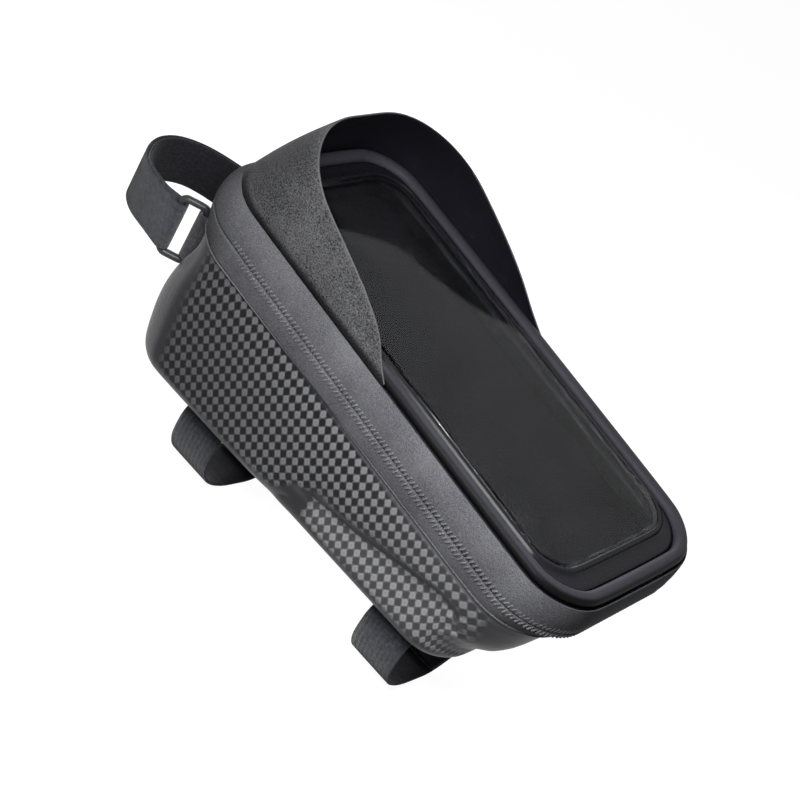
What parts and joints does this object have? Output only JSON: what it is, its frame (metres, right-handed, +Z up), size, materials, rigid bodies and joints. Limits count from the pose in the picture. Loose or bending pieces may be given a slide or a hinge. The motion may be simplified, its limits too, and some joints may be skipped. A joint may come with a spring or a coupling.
{
  "type": "bicycle frame bag",
  "caption": "Hard-shell top tube bag with a zipped lid, a clear phone window, a sun visor round the front half and hook-and-loop straps.",
  "frame": {"origin": "middle of the flat underside that sits on the bicycle's top tube", "axes": "+X points to the rider, +Y to the bicycle's right, +Z up, away from the top tube"},
  "size_m": [0.2514, 0.1071, 0.1584],
  "materials": {
    "moulded_shell": "satin, embossed squares",
    "coated_cloth": "coated, matte",
    "roll_cloth": "matte",
    "board": "matte",
    "frame_plastic": "glossy",
    "clear_film": "clear",
    "visor_sheet": "grained",
    "tray_cloth": "matte",
    "zip_plastic": "satin",
    "zip_metal": "satin",
    "webbing": "matte",
    "ring_plastic": "satin"
  },
  "bodies": {
    "shell": {"shell_body": "moulded_shell", "lower_zip_band": "coated_cloth", "zip_coil_lower": "zip_plastic", "zip_end_stop_left": "zip_metal", "zip_end_stop_right": "zip_metal", "front_hinge_cloth": "coated_cloth", "bottom_strap_front": "webbing", "bottom_strap_rear": "webbing", "strap_anchor_front": "coated_cloth", "strap_anchor_rear": "coated_cloth", "front_ring": "ring_plastic", "front_tab": "webbing", "front_strap": "webbing"},
    "lid": {"upper_zip_band": "coated_cloth", "zip_coil_upper": "zip_plastic", "lid_roll": "roll_cloth", "lid_stiffener": "board", "window_frame": "frame_plastic", "window_film": "clear_film", "sun_visor": "visor_sheet", "phone_tray": "tray_cloth", "pocket_band_front": "webbing", "pocket_band_rear": "webbing"},
    "slider": {"zip_slider": "zip_metal"},
    "pull": {"zip_pull": "zip_metal"}
  },
  "joints": [
    {"name": "lid_hinge", "type": "hinge", "parent": "shell", "child": "lid", "pos_m": [-0.09037, 0, 0.07975], "axis": [0, -1, 0], "range_deg": [0, 100]},
    {"name": "zip_run", "type": "slide", "parent": "shell", "child": "slider", "axis": [0.989, 0, -0.1478], "range_m": [0, 0.116]},
    {"name": "pull_swing", "type": "hinge", "parent": "slider", "child": "pull", "pos_m": [-0.04537, 0.0534, 0.07302], "axis": [0.1478, 0, 0.989], "range_deg": [0, 175]}
  ]
}
